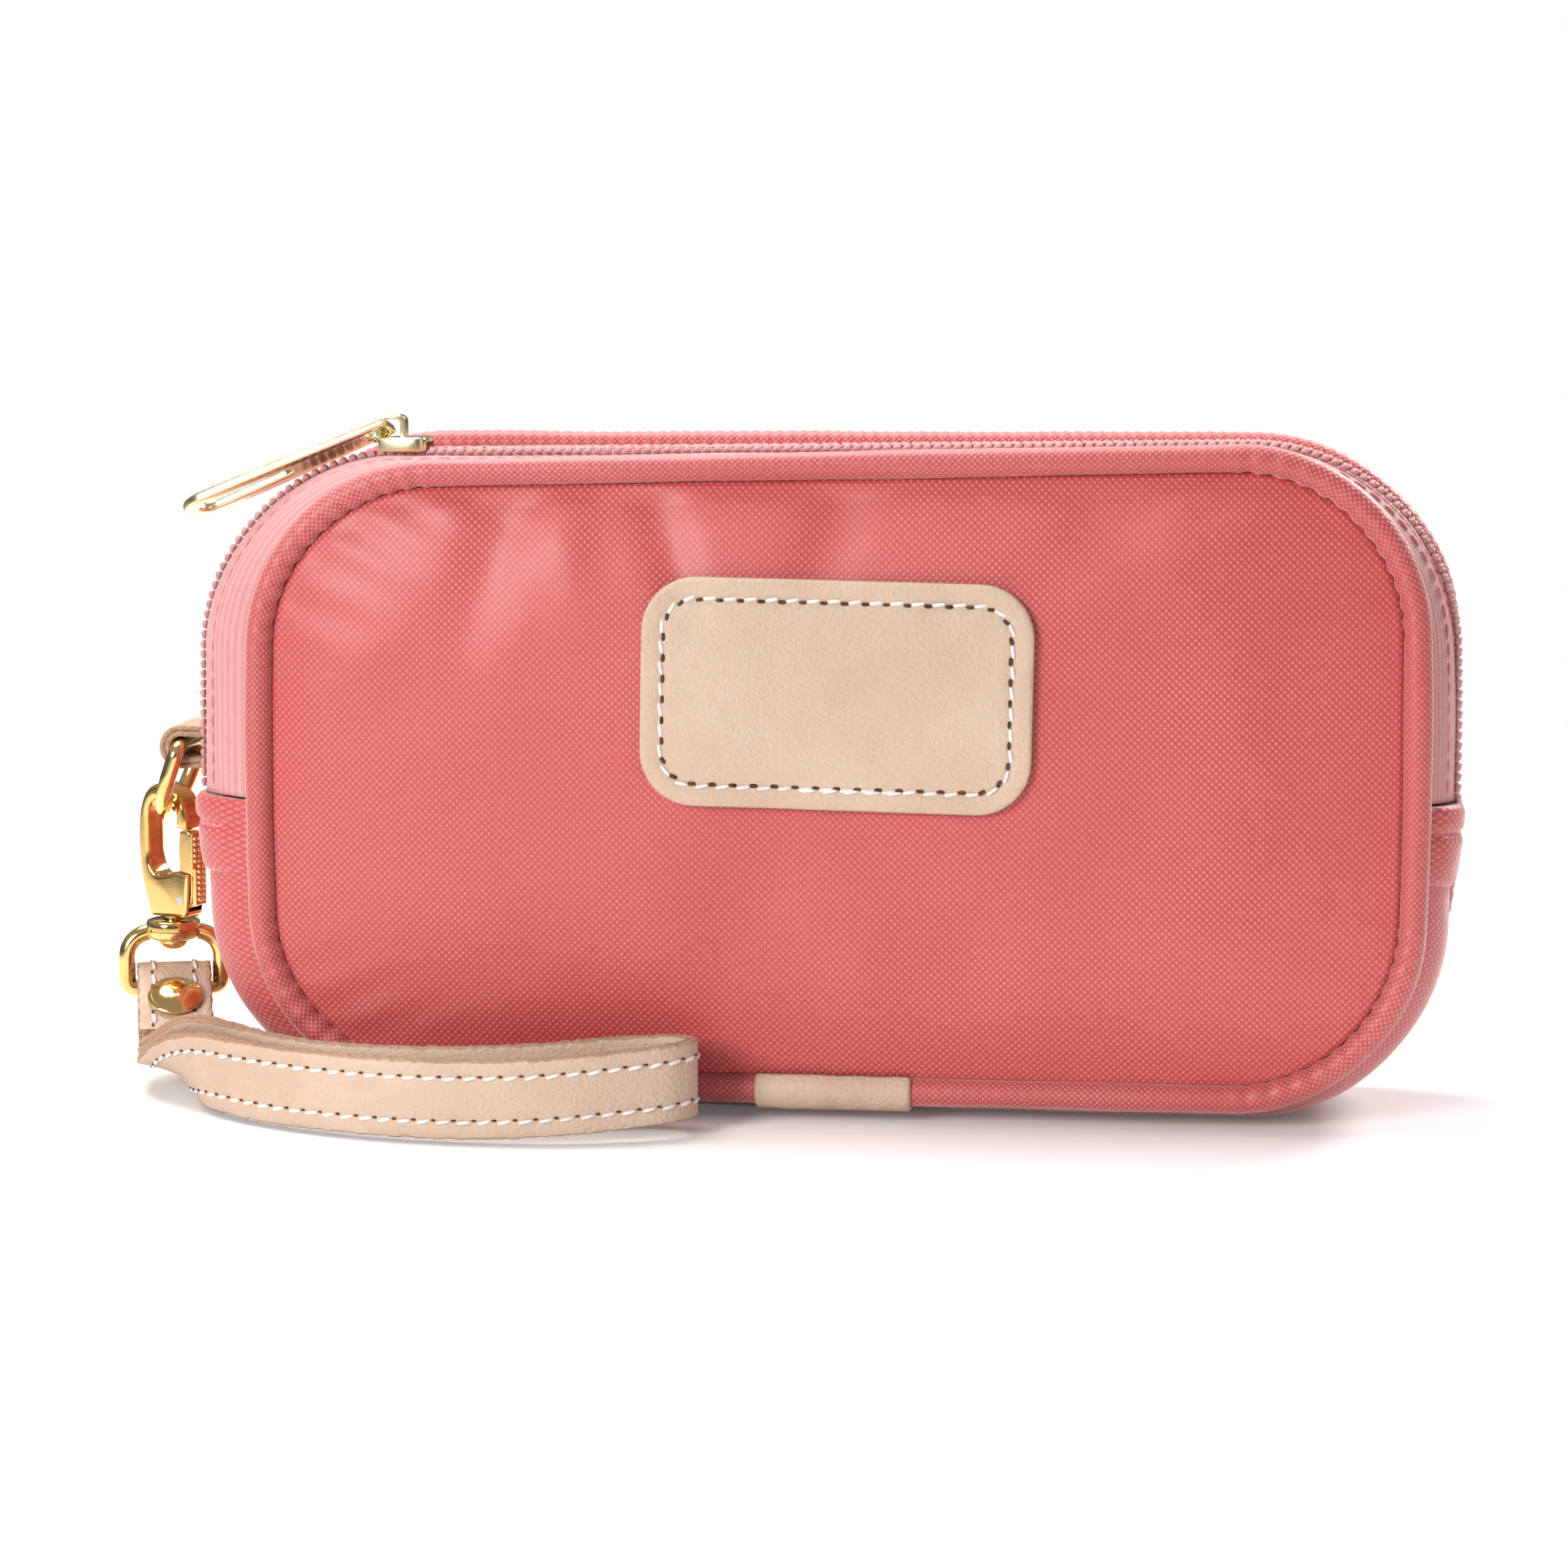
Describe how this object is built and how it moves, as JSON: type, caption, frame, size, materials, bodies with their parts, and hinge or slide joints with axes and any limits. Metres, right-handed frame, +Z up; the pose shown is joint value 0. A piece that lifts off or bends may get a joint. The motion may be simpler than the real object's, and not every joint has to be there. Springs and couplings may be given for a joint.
{
  "type": "wristlet wallet",
  "caption": "Zipped, piped coated-canvas wallet with a leather label patch and a leather wrist strap on a snap hook and D-ring.",
  "frame": {"origin": "on the flat bottom of the body, midway along it and midway through its depth", "axes": "+X along the body towards the end without the strap, +Y towards the back, +Z up"},
  "size_m": [0.2198, 0.0695, 0.11],
  "materials": {
    "canvas": "coated woven canvas, satin",
    "zip_tape": "woven tape, matte",
    "lining": "plain woven, matte",
    "leather": "natural vegetable-tanned, satin",
    "thread": "twisted thread",
    "gold": "polished gold plate",
    "pale_brass": "pale polished brass",
    "steel": "bright spring steel"
  },
  "bodies": {
    "root": {"front_panel": "canvas", "back_panel": "canvas", "front_piping": "canvas", "back_piping": "canvas", "bottom_gusset": "canvas", "gusset_fold_left": "canvas", "gusset_fold_right": "canvas", "zip_tape_front": "zip_tape", "zip_tape_back": "zip_tape", "zip_coil_front": "zip_tape", "zip_coil_back": "zip_tape", "front_seam_binding": "lining", "back_seam_binding": "lining", "front_lining": "lining", "back_lining": "lining", "gusset_lining": "lining", "label_patch": "leather", "label_patch_thread": "thread", "piping_joint_wrap": "leather", "ring_tab": "leather"},
    "slider": {"slider_body": "pale_brass", "slider_bridge": "pale_brass"},
    "pull": {"zip_pull": "pale_brass"},
    "ring": {"d_ring": "gold"},
    "hook": {"hook_body": "gold", "gate_pin": "steel", "gate_spring": "steel", "swivel_post": "gold"},
    "gate": {"hook_gate": "gold"},
    "eye": {"swivel_eye": "gold"},
    "strap": {"strap_outer_ply": "leather", "strap_inner_ply": "leather", "strap_thread_left": "thread", "strap_thread_right": "thread", "rivet_cap": "gold", "rivet_post": "gold"}
  },
  "joints": [
    {"name": "zip_travel", "type": "slide", "parent": "root", "child": "slider", "axis": [0.9999, 0, 0.0151], "range_m": [0, 0.128]},
    {"name": "pull_flip", "type": "hinge", "parent": "slider", "child": "pull", "pos_m": [-0.06967, -0.007, 0.1082], "axis": [0, 1, 0], "range_deg": [0, 195]},
    {"name": "d_ring_swing", "type": "hinge", "parent": "root", "child": "ring", "pos_m": [-0.1065, 0.0063, 0.0552], "axis": [0, 1, 0], "range_deg": [0, 75]},
    {"name": "hook_swing", "type": "hinge", "parent": "ring", "child": "hook", "pos_m": [-0.11047, 0.0063, 0.04367], "axis": [0, 1, 0], "range_deg": [-4, 28]},
    {"name": "gate_press", "type": "hinge", "parent": "hook", "child": "gate", "pos_m": [-0.10683, 0.00482, 0.0292], "axis": [-0.4226, -0.9063, 0], "range_deg": [0, 18], "stiffness_Nm_per_rad": 0.02},
    {"name": "eye_swivel", "type": "hinge", "parent": "hook", "child": "eye", "pos_m": [-0.11, 0.0063, 0.0236], "axis": [0, 0, 1], "range_deg": [-180, 0]},
    {"name": "strap_lift", "type": "hinge", "parent": "eye", "child": "strap", "pos_m": [-0.11, 0.0063, 0.0141], "axis": [-0.9613, -0.2756, 0], "range_deg": [0, 13]}
  ],
  "couplings": [
    {"joint": "pull_flip", "follows": "zip_travel", "rad_per_m": 26.5}
  ]
}
